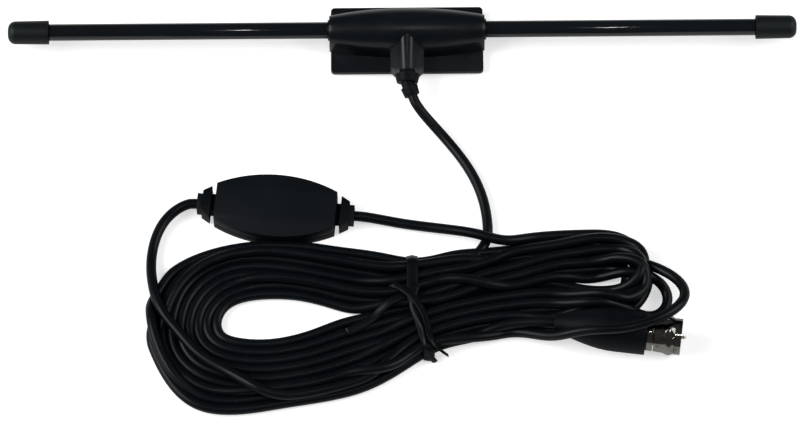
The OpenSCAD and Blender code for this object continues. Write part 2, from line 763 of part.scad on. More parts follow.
// Hexagon with both ends turned down to a cone, between a rear cone and a round front collar
module nut_outside() {
    hex_z = nut_cone_l;
    chamfer = nut_hex_l * 0.45;
    cylinder(r1 = plug_collar_r, r2 = nut_flats / 2, h = nut_cone_l, $fn = round_fn);
    intersection() {
        translate([0, 0, hex_z]) cylinder(r = nut_corner_r, h = nut_hex_l, $fn = 6);
        union() {
            translate([0, 0, hex_z]) cylinder(r1 = nut_flats / 2, r2 = nut_round_r, h = chamfer, $fn = round_fn);
            translate([0, 0, hex_z + chamfer]) cylinder(r = nut_round_r, h = nut_hex_l - 2 * chamfer,
                $fn = round_fn);
            translate([0, 0, hex_z + nut_hex_l - chamfer]) cylinder(r1 = nut_round_r, r2 = nut_flats / 2,
                h = chamfer, $fn = round_fn);
        }
    }
    translate([0, 0, hex_z + nut_hex_l]) cylinder(r = nut_front_r, h = nut_front_l, $fn = round_fn);
}

module coupling_nut() {
    color("silver") at_plug() translate([0, 0, nut_z]) difference() {
        nut_outside();
        translate([0, 0, nut_rear]) cylinder(r = nut_bore_r, h = nut_l, $fn = round_fn);
        translate([0, 0, -cut]) cylinder(r = spin_r + spin_gap, h = nut_l, $fn = round_fn);
    }
}

adhesive_pad();
base_plate();
head_cover();
left_rod();
right_rod();
left_end_cap();
right_end_cap();
left_contact();
right_contact();
balun_board();
balun_core();
head_cable_end();
head_strain_relief();
head_lead();
amp_lower_shell();
amp_upper_shell();
amp_left_relief();
amp_right_relief();
amp_board();
amp_chip();
amp_capacitors();
amp_choke();
amp_left_cable_end();
amp_right_cable_end();
amp_left_lead();
amp_right_lead();
cable_hank();
outer_loop();
twist_tie();
connector_boot();
crimp_ferrule();
connector_body();
plug_cable_end();
plug_insulator();
center_pin();
coupling_nut();
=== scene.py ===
import json
import math

import bmesh
import bpy
import numpy as np
from mathutils import Matrix, Vector


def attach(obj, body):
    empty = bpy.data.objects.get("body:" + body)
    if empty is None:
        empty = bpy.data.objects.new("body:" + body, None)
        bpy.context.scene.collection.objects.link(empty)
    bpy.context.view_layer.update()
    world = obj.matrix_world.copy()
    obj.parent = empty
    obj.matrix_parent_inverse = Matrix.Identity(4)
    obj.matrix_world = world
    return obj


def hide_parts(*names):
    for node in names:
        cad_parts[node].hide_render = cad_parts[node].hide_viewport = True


MM = 0.001
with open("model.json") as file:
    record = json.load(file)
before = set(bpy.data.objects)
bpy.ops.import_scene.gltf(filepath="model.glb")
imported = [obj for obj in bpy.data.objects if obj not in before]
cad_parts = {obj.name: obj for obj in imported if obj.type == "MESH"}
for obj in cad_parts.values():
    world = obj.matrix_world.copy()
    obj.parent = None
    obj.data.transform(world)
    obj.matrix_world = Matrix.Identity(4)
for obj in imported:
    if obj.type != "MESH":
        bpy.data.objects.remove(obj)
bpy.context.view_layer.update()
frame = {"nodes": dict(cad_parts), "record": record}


# ---------------------------------------------------------------- camera


def photo_camera(height=65.0, lean=0.45, distance=1.5, lens=215.3, aim=(-0.00265, -0.05877, 0.0)):
    """The photograph's view: from the front, 65 degrees above the table, with a very long lens."""
    tilt, roll = math.radians(height), math.radians(lean)
    forward = Vector((0, math.cos(tilt), -math.sin(tilt)))
    across = Vector((1, 0, 0))
    upward = Vector((0, math.sin(tilt), math.cos(tilt)))
    right = across * math.cos(roll) - upward * math.sin(roll)
    up = across * math.sin(roll) + upward * math.cos(roll)
    data = bpy.data.cameras.new("photo_camera")
    data.lens = lens
    data.clip_start, data.clip_end = 0.05, 20
    camera = bpy.data.objects.new("photo_camera", data)
    bpy.context.scene.collection.objects.link(camera)
    turn = Matrix((right, up, -forward)).transposed().to_4x4()
    camera.matrix_world = Matrix.Translation(Vector(aim) - forward * distance) @ turn
    bpy.context.scene.camera = camera


photo_camera()


# ---------------------------------------------------------------- cable route, in millimetres

CABLE_R = 1.6
LOW, HIGH, TOP = 1.6, 4.4, 7.2
STEP = 2.0

HEAD_LEAD = [
    (1.505, -22.024, 7.048), (2.394, -24.404, 6.498), (4.7, -27.4, 4.9), (7.6, -30.2, 3.5),
    (10.6, -33.4, 2.4), (13.6, -37, 1.8), (16.8, -41.4, 1.7), (19.6, -46, 1.7), (21.9, -51, 1.7),
    (23.6, -56.2, 1.7), (24.5, -61.4, 1.7), (24.8, -66.2, 1.7), (24.8, -70.8, 1.7),
]
AMP_RIGHT_LEAD = [
    (-16.96, -62.12, 3.4), (-14.37, -62.36, 3.4), (-9, -63, 2.7), (-3, -64.1, 2), (3.5, -65.1, 2),
    (10, -66.3, 2.6), (16, -67.7, 3.8), (22, -69.4, 5.1), (28, -71.6, 5.3),
]
AMP_LEFT_LEAD = [
    (-66.04, -57.48, 3.4), (-68.63, -57.24, 3.4), (-71.6, -58.2, 3), (-74.9, -60.8, 2.6),
    (-77.3, -64, 2.2), (-79, -68, 1.9), (-80.1, -73, 1.8), (-80.4, -78, 2.2), (-80, -83, 3.6),
    (-79, -88, 5),
]
OUTER_LOOP = [
    (66, -78, 4.8), (71.8, -79.6, 5.4), (77.4, -82.4, 6.8), (82.2, -86, 8.4), (85, -90.4, 10.4),
    (85.4, -94.6, 12.6), (83, -98.6, 14.4), (78.6, -102, 15.2), (73.4, -104.4, 15.6),
    (68, -106, 15.4), (62.4, -106.4, 14.9), (57, -106, 14.2), (51.8, -105.8, 12.4),
    (47, -105.8, 9.4), (43.2, -105.2, 6.4), (39.6, -103.6, 4.6),
]
BOOT_TIP = (44.74, -100.58, 6.8)
BOOT_AXIS = (0.99144, -0.13053, 0.0)

# Where the waist lies along X, where a leg's points lie, and the distance from the waist to the neck.
WAIST_X = 1
LEG_X = (13, 24, 35, 45)
LEG_SPAN = 45
# How hard a leg bends towards its neck, below and above, and the places along a fold in degrees.
LOWER_BOW, UPPER_BOW = 2.0, 1.1
FOLD_ANGLES = (-80, -56, -34, -11, 11, 34, 56, 80)

# Where each turn lies at the tied waist: distance along Y, and its layer. Turn 0 is the outermost.
WAIST_TOP = [
    (-79.4, LOW), (-82.8, LOW), (-81.1, HIGH), (-86.1, LOW), (-84.4, HIGH), (-89.5, LOW),
    (-87.8, HIGH), (-92.9, LOW), (-91.2, HIGH),
]
WAIST_BOTTOM = [
    (-106.4, LOW), (-109.8, LOW), (-108.1, HIGH), (-103.1, LOW), (-101.4, HIGH), (-99.7, LOW),
    (-98.0, HIGH), (-96.3, LOW), (-94.6, HIGH),
]
WAIST_LEAD = (-104.7, HIGH)

# The left end, outermost and innermost centre lines, from the top band round to the bottom one.
LEFT_OUTER = [
    (-12, -76.4), (-28, -74.0), (-40, -73.4), (-50, -74.4), (-58.5, -76.6), (-65, -80.0), (-69.4, -85.6),
    (-72.6, -92), (-74.6, -99), (-74.0, -106.5), (-70.6, -113.0), (-63, -118.4), (-52, -121.6),
    (-40, -123.6), (-28, -122.4), (-16, -119.2), (-7, -115.4),
]
LEFT_INNER = [
    (-15, -95.0), (-24, -91.2), (-34, -88.2), (-44, -87.0), (-51, -87.9), (-57.4, -90.2), (-61.4, -93),
    (-63.2, -96.4), (-62.6, -100.2), (-59.6, -103.0), (-53.6, -105.2), (-47, -105.8), (-40, -105.2),
    (-33, -103.4), (-26, -100.4), (-19.6, -96.8), (-11, -95.2),
]
# Each turn's share of the way from the outer line to the inner one, and its layer. Turn 0 has WIDE_TURN.
LEFT_LANE = [
    None, (0.0, LOW), (0.12, HIGH), (0.25, LOW), (0.38, HIGH), (0.5, LOW), (0.62, HIGH), (0.76, LOW),
    (1.0, LOW),
]
# Turn 1 follows its lane as far as this point, then LOW_SWING.
SWING_FROM = 9

# The outermost turn swings clear of the others at the left end.
WIDE_TURN = [
    (-12, -75.6, LOW), (-28, -72.9, LOW), (-40, -72.2, LOW), (-50, -72.4, LOW), (-58.5, -73.5, LOW),
    (-64.6, -75.8, LOW), (-70.5, -79.2, LOW), (-75.6, -84.6, LOW), (-78.6, -90, LOW), (-80.2, -96, LOW),
    (-80.2, -101.8, LOW), (-78.8, -106, 2.2), (-76, -110.4, 4.2), (-71.2, -115, 4.4), (-63.4, -119.6, 3.4),
    (-52, -122.2, 2.2), (-40, -121.8, LOW), (-28, -119.6, LOW), (-16, -116.2, LOW), (-7, -112.2, LOW),
]
# The second turn sags out below the bundle at the bottom left.
LOW_SWING = [
    (-75.4, -106.5, LOW), (-75.2, -112, LOW), (-74.3, -116.4, LOW), (-72.4, -119.8, LOW),
    (-69.2, -122.6, LOW), (-64.6, -125.1, LOW), (-59, -126.3, LOW), (-52, -126.4, LOW),
    (-45, -125.6, LOW), (-37, -124.4, LOW), (-26, -122.4, LOW), (-15, -119.8, LOW), (-7, -115.4, LOW),
]
# The lead from the amplifier lies over the whole left end.
OVER_LEFT = [
    (-77.2, -93, 6.6), (-73.8, -98.6, 7.2), (-69.8, -103.5, 7.4), (-63.9, -109.2, 7.4),
    (-56.8, -114.3, 7.2), (-49.1, -118.8, 6.8), (-42, -121.4, 6), (-35, -122.8, 5.2),
    (-26, -121.6, 4.6), (-15, -117.6, 4.5), (-7, -113.6, 4.4),
]


def leg(waist, neck, bow):
    """The stretch between the waist and the neck before a fold, as points from left to right."""
    points = []
    for x in LEG_X:
        t = (x - WAIST_X) / LEG_SPAN
        share = 1 - (1 - t) ** bow
        points.append((x, waist[0] + (neck[0] - waist[0]) * share, waist[1] + (neck[1] - waist[1]) * t))
    return points


def fold(end, top, bottom, height, lean=0.0):
    """A round fold at the right end, from its bottom leg up to its top leg."""
    r = (top - bottom) / 2
    cx, cy = end - r, (top + bottom) / 2
    high, low = height if isinstance(height, tuple) else (height, height)
    points = []
    first_angle, last_angle = FOLD_ANGLES[0], FOLD_ANGLES[-1]
    for angle in FOLD_ANGLES:
        a = math.radians(angle)
        z = low + (high - low) * (angle - first_angle) / (last_angle - first_angle)
        points.append((cx + r * math.cos(a) + lean * math.cos(a) * math.sin(a), cy + r * math.sin(a), z))
    return points


def left_end(turn):
    """The stretch of one turn from the waist leftwards, round the left end and back to the waist."""
    if turn == 0:
        return WIDE_TURN
    lane, height = LEFT_LANE[turn]
    points = [
        (ox + (ix - ox) * lane, oy + (iy - oy) * lane, height)
        for (ox, oy), (ix, iy) in zip(LEFT_OUTER, LEFT_INNER)
    ]
    if turn == 1:
        points = points[:SWING_FROM] + LOW_SWING
    return points


def waist_to_waist(turn):
    """One turn's left half, from its top place at the waist to its bottom one."""
    return [(WAIST_X, *WAIST_TOP[turn]), *left_end(turn), (WAIST_X, *WAIST_BOTTOM[turn])]


# Each fold: how far right it reaches, its top, its bottom and its layer, then where its legs lie at
# the neck on the way to the waist, top one first.
FOLDS = {
    "head_turn": ((71.4, -71.8, -95.0, LOW, 0.0), (-73.2, LOW), (-93.6, LOW)),
    "head_exit": ((74.4, -68.0, -97.8, LOW, 0.5), (-69.7, 3.4), (-97.3, LOW)),
    "last": ((68.2, -75.2, -91.8, LOW, 0.0), (-76.4, LOW), (-90.2, LOW)),
    "small": ((69.8, -79.2, -95.0, 4.8, 0.0), (-80.2, 3.0), (-88.4, 3.0)),
    "first": ((73.8, -70.6, -92.4, (6.4, 4.8), 0.5), (-72.8, HIGH), (-94.4, HIGH)),
    "inner": ((73.0, -74.4, -90.0, 7.8, 0.0), (-76.8, HIGH), (-86.6, HIGH)),
    "upper": ((77.0, -78.8, -94.6, (10.2, 6.4), 0.0), (-80.2, TOP), (-90.0, HIGH)),
    "low_right": ((81.0, -83.2, -97.4, 8.6, -0.5), (-84.0, TOP), (-92.6, 5.8)),
}


def right_end(from_slot, name, to_slot):
    """From the bottom waist, round a fold at the right end, to the top waist."""
    bend, neck_top, neck_bottom = FOLDS[name]
    below, above = leg(from_slot, neck_bottom, LOWER_BOW), leg(to_slot, neck_top, UPPER_BOW)
    return [*below, *fold(*bend), *above[::-1]]


def first_cable_route():
    """From the head, two turns of the hank, and into the amplifier's right end."""
    bend, _, neck_bottom = FOLDS["head_exit"]
    return [
        *HEAD_LEAD,
        (23.4, -75.6, LOW), (19, -80, LOW), (12.6, -83, LOW), (6.6, -84.4, LOW),
        *waist_to_waist(3),
        *right_end(WAIST_BOTTOM[3], "head_turn", WAIST_TOP[0]),
        *waist_to_waist(0),
        *leg(WAIST_BOTTOM[0], neck_bottom, LOWER_BOW),
        *fold(*bend),
        (53, -69.0, 2.8),
        (45, -70.0, 4.0),
        (36.5, -71.4, 4.9),
        *AMP_RIGHT_LEAD[::-1],
    ]


def second_cable_route():
    """From the amplifier's left end, seven turns of the hank, and into the plug."""
    return [
        *AMP_LEFT_LEAD,
        *OVER_LEFT,
        (WAIST_X, *WAIST_LEAD),
        *right_end(WAIST_LEAD, "first", WAIST_TOP[4]),
        *waist_to_waist(4),
        *right_end(WAIST_BOTTOM[4], "low_right", WAIST_TOP[6]),
        *waist_to_waist(6),
        *right_end(WAIST_BOTTOM[6], "upper", WAIST_TOP[8]),
        *waist_to_waist(8),
        *right_end(WAIST_BOTTOM[8], "inner", WAIST_TOP[7]),
        *waist_to_waist(7),
        *right_end(WAIST_BOTTOM[7], "small", WAIST_TOP[5]),
        *waist_to_waist(5),
        *right_end(WAIST_BOTTOM[5], "last", WAIST_TOP[2]),
        *waist_to_waist(2),
        (12, -104.6, HIGH), (21, -103.0, HIGH), (30, -102.6, HIGH),
        *OUTER_LOOP[::-1],
        (59.4, -77.0, 4.6), (50, -76.8, 3.4), (38, -77.4, LOW), (25, -79.0, LOW), (13, -81.0, LOW),
        *waist_to_waist(1),
        (8, -105.8, 1.8), (15, -103.4, 2.6), (23, -101.8, 4.2), (31, -100.6, 5.8), (38.4, -100.0, 6.8),
        BOOT_TIP,
    ]


SPAN_PARTS = 12


def through(points, step):
    """Points at an even distance along a smooth line through the given ones."""
    p = np.array(points, float)
    p = np.vstack([2 * p[0] - p[1], p, 2 * p[-1] - p[-2]])
    line = []
    for i in range(1, len(p) - 2):
        a, b, c, d = p[i - 1 : i + 3]
        t0 = max(np.linalg.norm(b - a), 1e-6) ** 0.5
        t1 = max(np.linalg.norm(c - b), 1e-6) ** 0.5
        t2 = max(np.linalg.norm(d - c), 1e-6) ** 0.5
        mb = (b - a) / t0 - (c - a) / (t0 + t1) + (c - b) / t1
        mc = (c - b) / t1 - (d - b) / (t1 + t2) + (d - c) / t2
        for u in np.linspace(0, 1, SPAN_PARTS, endpoint=False):
            h = ((2 * u - 3) * u * u + 1, ((u - 2) * u + 1) * u, (3 - 2 * u) * u * u, (u - 1) * u * u)
            line.append(h[0] * b + h[1] * mb * t1 + h[2] * c + h[3] * mc * t1)
    line.append(p[-2])
    line = np.array(line)
    along = np.concatenate([[0], np.cumsum(np.linalg.norm(np.diff(line, axis=0), axis=1))])
    count = max(2, int(round(along[-1] / step)) + 1)
    at = np.linspace(0, along[-1], count)
    return np.stack([np.interp(at, along, line[:, k]) for k in range(3)], axis=1)


# The hank's outline for centre lines on the table, along its far side, its near side and round its eye.
# These places were measured along the edges that the photograph shows.
FAR_SIDE = [
    (-82, -96), (-80.2, -91), (-77.4, -84.5), (-74.4, -81.1), (-71.3, -78.7), (-68.2, -76.7), (-62, -74.0),
    (-55.8, -72.3), (-49, -71.6), (-40, -71.8), (-30, -72.9), (-21.5, -74.0), (-12.1, -75.1), (-2.8, -76.9),
    (3.5, -77.3), (9.7, -76.0), (19.1, -73.7), (34.7, -69.7), (44.1, -68.1), (53.6, -66.6), (59.8, -66.5),
    (66, -67.8), (69.1, -69.3), (72.2, -71.9), (74.2, -75.5), (76, -78.5), (80, -80.5),
]
NEAR_SIDE = [
    (-82, -98), (-79.8, -104), (-77.4, -109.5), (-75.6, -115), (-73.9, -118.6), (-70.8, -122.2),
    (-67.7, -124.2), (-64.6, -125.6), (-60, -126.5), (-55.3, -126.7), (-49.2, -126.4), (-43.1, -124.9),
    (-33.9, -123.5), (-24.6, -122.2), (-15.4, -120), (-9.2, -117), (-3, -113.1), (0.1, -110.7), (3.2, -108.1),
    (6.3, -106.4), (12.5, -104.1), (21.8, -102.5), (31.1, -101.3), (43.5, -100.3), (60, -98.5), (70, -97.6),
    (80, -96.4),
]
EYE = np.array([
    (-63.2, -97.6), (-62.4, -94.4), (-60, -91.8), (-55.6, -89.3), (-51, -87.9), (-44.7, -87.0), (-38, -87.1),
    (-33.5, -88.2), (-27, -89.8), (-22.5, -91.6), (-19.6, -94.2), (-21, -97.2), (-27, -100.4),
    (-31.7, -102.6),
    (-36.5, -104.2), (-43, -105.2), (-49, -105.2), (-55, -104.4), (-59.4, -102.4), (-62.2, -100.2),
])


# Only points in this box are tested against the eye: least and greatest X, least and greatest Y.
EYE_BOX = (-64, -19, -106, -88)
LEFT_LIMIT = -80.0
# How far up the photograph's view moves a point for each millimetre of its height.
VIEW_SHIFT = 0.466


def between(table, x):
    """Y of an outline table at X."""
    return np.interp(x, [q[0] for q in table], [q[1] for q in table])


def keep_outline(p, rows, share=0.4):
    """Turns that pile up rise instead of spreading past the hank's outline or into its eye."""
    x, y = p[rows, 0], p[rows, 1]
    drop = VIEW_SHIFT * (p[rows, 2] - LOW)
    top, low = between(FAR_SIDE, x) - drop, between(NEAR_SIDE, x) - drop
    y = y + share * (np.clip(y, low, top) - y)
    x = np.maximum(x, x + share * (LEFT_LIMIT - x))
    left, right, below, above = EYE_BOX
    near = np.flatnonzero((x > left) & (x < right) & (y > below) & (y < above))
    a, b = EYE, np.roll(EYE, -1, axis=0)
    q = np.stack([x[near], y[near]], axis=1)[:, None]
    along = np.clip(((q - a) * (b - a)).sum(2) / ((b - a) ** 2).sum(1), 0, 1)
    reach = a + along[..., None] * (b - a) - q
    crosses = (a[:, 1] > q[..., 1]) != (b[:, 1] > q[..., 1])
    cut = a[:, 0] + (q[..., 1] - a[:, 1]) / np.where(crosses, b[:, 1] - a[:, 1], 1) * (b[:, 0] - a[:, 0])
    inside = (crosses & (q[..., 0] < cut)).sum(1) % 2 == 1
    nearest = reach[np.arange(len(near)), (reach**2).sum(2).argmin(1)]
    x[near] += share * nearest[:, 0] * inside
    y[near] += share * nearest[:, 1] * inside
    p[rows, 0], p[rows, 1] = x, y


# The boot's bullet shape: radius at its tip, how much it swells, over what length and how fully.
BOOT_TIP_R, BOOT_SWELL, BOOT_NOSE, BOOT_FULL = 2.7, 4.1, 19, 0.9
BOOT_START = 0.5
# Which stretch of the boot pushes, and the gap it keeps.
BOOT_FROM, BOOT_TO = 1.5, 45
BOOT_GAP = 0.15


def boot_push(p, free):
    """Moves points out of the plug's boot, a bullet shape lying on the table."""
    start, axis = np.array(BOOT_TIP), np.array(BOOT_AXIS)
    s = (p - start) @ axis
    swell = np.clip(np.sin(np.clip((s + BOOT_START) / BOOT_NOSE, 0, 1) * math.pi / 2), 0, 1)
    radius = BOOT_TIP_R + BOOT_SWELL * swell**BOOT_FULL
    foot = start + np.outer(s, axis)
    away = p - foot
    d = np.linalg.norm(away, axis=1)
    hit = free & (s > BOOT_FROM) & (s < BOOT_TO) & (d < radius + CABLE_R + BOOT_GAP)
    p[hit] = foot[hit] + away[hit] / d[hit, None] * (radius[hit, None] + CABLE_R + BOOT_GAP)


def bend_radius(line):
    """Radius of the circle through each point and its next neighbours but one."""
    a, b, c = line[:-4], line[2:-2], line[4:]
    sides = [np.linalg.norm(q, axis=1) for q in (b - a, c - b, c - a)]
    area = np.linalg.norm(np.cross(b - a, c - a), axis=1) / 2
    return sides[0] * sides[1] * sides[2] / np.maximum(4 * area, 1e-9)


# Pull back to the drawn route, and how much stronger it gets at the right end, from where over what length.
PULL, RIGHT_PULL = 0.012, 0.09
RIGHT_FROM, RIGHT_SPAN = 48, 12
# The distance that strands keep grows from a share of the full one, over a share of the rounds.
STRAND_GAP = 0.04
FIRST_SHARE, GROWTH, GROWN_BY = 0.35, 0.65, 0.6
# Close pairs are listed again every few rounds, out to a distance, and not along one stretch of cable.
LIST_EVERY, LIST_REACH, LIST_SKIP = 8, 7, 4
SAG = 0.05
STIFFNESS, STIFF_PASSES = 0.5, 3
PUSH, PUSH_PASSES = 1.5, 2
# The last smoothing, and the easing of bends under a least radius together with the points beside them.
LAST_ROUNDS = 5
EASE_RADIUS, EASE_ROUNDS, EASE_REACH = 5.0, 80, 4


def settle(lines, held, rounds=320):
    """Lets the turns rest on the table and on each other. Strands can still overlap a little where they
    are pressed together at the folds."""
    count = [len(line) for line in lines]
    p = np.vstack(lines)
    home = p.copy()
    cable = np.repeat(np.arange(len(lines)), count)
    number = np.concatenate([np.arange(n) for n in count])
    free = ~np.concatenate(held)
    weight = free.astype(float)
    inner = free & (number > 1) & (number < np.repeat(count, count) - 2)
    rows = np.flatnonzero(inner)
    pull = PULL + RIGHT_PULL * np.clip((home[rows, :1] - RIGHT_FROM) / RIGHT_SPAN, 0, 1)
    full = 2 * CABLE_R + STRAND_GAP
    pairs = None
    for turn in range(rounds):
        clear = full * min(1.0, FIRST_SHARE + GROWTH * turn / (GROWN_BY * rounds))
        if turn % LIST_EVERY == 0:
            gap = ((p[:, None, :2] - p[None, :, :2]) ** 2).sum(2)
            i, j = np.nonzero(np.triu(gap < LIST_REACH**2, 1))
            apart = (cable[i] != cable[j]) | (np.abs(number[i] - number[j]) > LIST_SKIP)
            pairs = i[apart], j[apart]
        p[rows, 2] -= SAG
        for _ in range(STIFF_PASSES):
            bend = (4 * (p[rows - 1] + p[rows + 1]) - (p[rows - 2] + p[rows + 2])) / 6 - p[rows]
            p[rows] += STIFFNESS * bend
        p[rows, :2] += pull * (home[rows, :2] - p[rows, :2])
        for _ in range(PUSH_PASSES):
            i, j = pairs
            away = p[i] - p[j]
            d = np.linalg.norm(away, axis=1)
            hit = d < clear
            i, j, away, d = i[hit], j[hit], away[hit], d[hit]
            share = weight[i] + weight[j]
            short = (clear - d) / np.maximum(share, 1)
            push = away / np.maximum(d, 1e-6)[:, None] * short[:, None]
            move = np.zeros_like(p)
            hits = np.zeros(len(p))
            np.add.at(move, i, push * weight[i, None])
            np.add.at(move, j, -push * weight[j, None])
            np.add.at(hits, i, 1)
            np.add.at(hits, j, 1)
            p += move / np.maximum(hits, 1)[:, None] * PUSH
            p[free, 2] = np.maximum(p[free, 2], LOW)
        keep_outline(p, rows)
        boot_push(p, free)
    out, at = [], 0
    for n in count:
        line = p[at : at + n]
        for _ in range(LAST_ROUNDS):
            even = (4 * (line[1:-3] + line[3:-1]) - (line[:-4] + line[4:])) / 6
            line[2:-2] += STIFFNESS * (even - line[2:-2])
            line[2:-2] = 0.5 * line[2:-2] + 0.25 * (line[1:-3] + line[3:-1])
        for _ in range(EASE_ROUNDS):
            rows = np.flatnonzero(bend_radius(line) < EASE_RADIUS) + 2
            if not len(rows):
                break
            beside = np.arange(-EASE_REACH, EASE_REACH + 1)
            rows = np.unique(np.clip(rows[:, None] + beside, 2, len(line) - 3))
            line[rows] = 0.5 * line[rows] + 0.25 * (line[rows - 1] + line[rows + 1])
        line[1:-1, 2] = np.maximum(line[1:-1, 2], LOW)
        out.append(line)
        at += n
    return out


# A point this close to a drawn lead belongs to it.
HOLD_NEAR = 1.3


def held_points(line, fixed):
    """Which points belong to the leads, the loop over the boot and the ends, and stay put."""
    keep = np.zeros(len(line), bool)
    for part in fixed:
        route = through(part, STEP)
        for q in route:
            keep |= np.linalg.norm(line - q, axis=1) < HOLD_NEAR
    keep[:3] = keep[-3:] = True
    return keep


def cable_tube(name, line):
    """A round cable along a settled line, as one closed mesh tube."""
    data = bpy.data.curves.new(name, "CURVE")
    data.dimensions = "3D"
    data.bevel_depth = CABLE_R * MM
    data.bevel_resolution = 5
    data.use_fill_caps = True
    spline = data.splines.new("NURBS")
    spline.points.add(len(line) - 1)
    for point, co in zip(spline.points, line):
        point.co = (co[0] * MM, co[1] * MM, co[2] * MM, 1)
    spline.order_u = 4
    spline.use_endpoint_u = True
    spline.resolution_u = 2
    drawn = bpy.data.objects.new(name + "_line", data)
    bpy.context.scene.collection.objects.link(drawn)
    graph = bpy.context.evaluated_depsgraph_get()
    mesh = bpy.data.meshes.new_from_object(drawn.evaluated_get(graph))
    bpy.data.objects.remove(drawn)
    mesh.name = name
    mesh.materials.clear()
    mesh.polygons.foreach_set("use_smooth", [True] * len(mesh.polygons))
    obj = bpy.data.objects.new(name, mesh)
    bpy.context.scene.collection.objects.link(obj)
    return obj


first = through(first_cable_route(), STEP)
second = through(second_cable_route(), STEP)
held = [
    held_points(first, [HEAD_LEAD, AMP_RIGHT_LEAD]),
    held_points(second, [AMP_LEFT_LEAD[:-1], OUTER_LOOP]),
]
first, second = settle([first, second], held)


first_cable = cable_tube("head_cable", first)
second_cable = cable_tube("plug_cable", second)
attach(first_cable, "antenna")
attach(second_cable, "antenna")
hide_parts("head_lead", "amp_right_lead")
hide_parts("amp_left_lead", "cable_hank", "outer_loop")


# ---------------------------------------------------------------- shader groups


def new_group(name, inputs, outputs):
    group = bpy.data.node_groups.new(name, "ShaderNodeTree")
    for label, kind, value in inputs:
        socket = group.interface.new_socket(name=label, in_out="INPUT", socket_type=kind)
        if value is not None:
            socket.default_value = value
    for label, kind in outputs:
        group.interface.new_socket(name=label, in_out="OUTPUT", socket_type=kind)
    return group, group.nodes.new("NodeGroupInput"), group.nodes.new("NodeGroupOutput")


def noise_in(tree, vector, scale, detail, rough):
    node = tree.nodes.new("ShaderNodeTexNoise")
    node.inputs["Detail"].default_value = detail
    node.inputs["Roughness"].default_value = rough
    if vector is not None:
        tree.links.new(vector, node.inputs["Vector"])
    if isinstance(scale, (int, float)):
        node.inputs["Scale"].default_value = scale
    else:
        tree.links.new(scale, node.inputs["Scale"])
    return node


def maths(tree, kind, a, b):
    node = tree.nodes.new("ShaderNodeMath")
    node.operation = kind
    for socket, value in zip(node.inputs, (a, b)):
        if isinstance(value, (int, float)):
            socket.default_value = value
        else:
            tree.links.new(value, socket)
    return node.outputs[0]


def ranged(tree, value, low, high, to_low, to_high):
    node = tree.nodes.new("ShaderNodeMapRange")
    node.inputs["From Min"].default_value = low
    node.inputs["From Max"].default_value = high
    for label, v in (("To Min", to_low), ("To Max", to_high)):
        if isinstance(v, (int, float)):
            node.inputs[label].default_value = v
        else:
            tree.links.new(v, node.inputs[label])
    tree.links.new(value, node.inputs["Value"])
    return node.outputs["Result"]


def make_skin_group():
    """Moulded skin: a fine pitted grain, slow waves, handling smudges and a little dust."""
    group, take, give = new_group(
        "moulded_skin",
        [
            ("Vector", "NodeSocketVector", None),
            ("Grain Scale", "NodeSocketFloat", 2500.0),
            ("Wave Scale", "NodeSocketFloat", 120.0),
            ("Wave Share", "NodeSocketFloat", 0.35),
        ],
        [("Height", "NodeSocketFloat"), ("Smudge", "NodeSocketFloat"), ("Dust", "NodeSocketFloat")],
    )
    vector = take.outputs["Vector"]
    grain = noise_in(group, vector, take.outputs["Grain Scale"], 3, 0.6)
    wave = noise_in(group, vector, take.outputs["Wave Scale"], 2, 0.5)
    smudge = noise_in(group, vector, 55.0, 4, 0.62)
    smear = noise_in(group, vector, 260.0, 3, 0.7)
    dust = noise_in(group, vector, 1500.0, 2, 0.5)
    where = noise_in(group, vector, 38.0, 3, 0.6)
    waves = maths(group, "MULTIPLY", wave.outputs["Fac"], take.outputs["Wave Share"])
    height = maths(group, "ADD", waves, grain.outputs["Fac"])
    handled = ranged(group, smudge.outputs["Fac"], 0.4, 0.66, 0.0, 1.0)
    smeared = ranged(group, smear.outputs["Fac"], 0.3, 0.7, 0.55, 1.0)
    both = maths(group, "MULTIPLY", handled, smeared)
    fleck = ranged(group, dust.outputs["Fac"], 0.66, 0.74, 0.0, 1.0)
    dusty = ranged(group, where.outputs["Fac"], 0.45, 0.7, 0.0, 1.0)
    specks = maths(group, "MULTIPLY", fleck, dusty)
    group.links.new(height, give.inputs["Height"])
    group.links.new(both, give.inputs["Smudge"])
    group.links.new(specks, give.inputs["Dust"])
    return group


def make_lathe_group():
    """Turned metal: fine rings along one axis, broken by slow noise, with dull tarnish patches."""
    group, take, give = new_group(
        "turned_metal",
        [("Vector", "NodeSocketVector", None), ("Ring Scale", "NodeSocketFloat", 3000.0)],
        [("Height", "NodeSocketFloat"), ("Streak", "NodeSocketFloat"), ("Tarnish", "NodeSocketFloat")],
    )
    vector = take.outputs["Vector"]
    rings = noise_in(group, None, take.outputs["Ring Scale"], 2, 0.6)
    rings.noise_dimensions = "1D"
    split = group.nodes.new("ShaderNodeSeparateXYZ")
    group.links.new(vector, split.inputs[0])
    group.links.new(split.outputs["X"], rings.inputs["W"])
    patch = noise_in(group, vector, 420.0, 4, 0.65)
    scratch = noise_in(group, vector, 1800.0, 2, 0.5)
    scratches = maths(group, "MULTIPLY", scratch.outputs["Fac"], 0.4)
    height = maths(group, "ADD", rings.outputs["Fac"], scratches)
    group.links.new(height, give.inputs["Height"])
    streak = ranged(group, rings.outputs["Fac"], 0.35, 0.65, 0.0, 1.0)
    tarnish = ranged(group, patch.outputs["Fac"], 0.45, 0.7, 0.0, 1.0)
    group.links.new(streak, give.inputs["Streak"])
    group.links.new(tarnish, give.inputs["Tarnish"])
    return group


SKIN = make_skin_group()
LATHE = make_lathe_group()


def colour_mix(tree, factor, a, b):
    node = tree.nodes.new("ShaderNodeMix")
    node.data_type = "RGBA"
    node.inputs["A"].default_value = (*a, 1)
    if isinstance(b, tuple):
        node.inputs["B"].default_value = (*b, 1)
    tree.links.new(factor, node.inputs["Factor"])
    return node


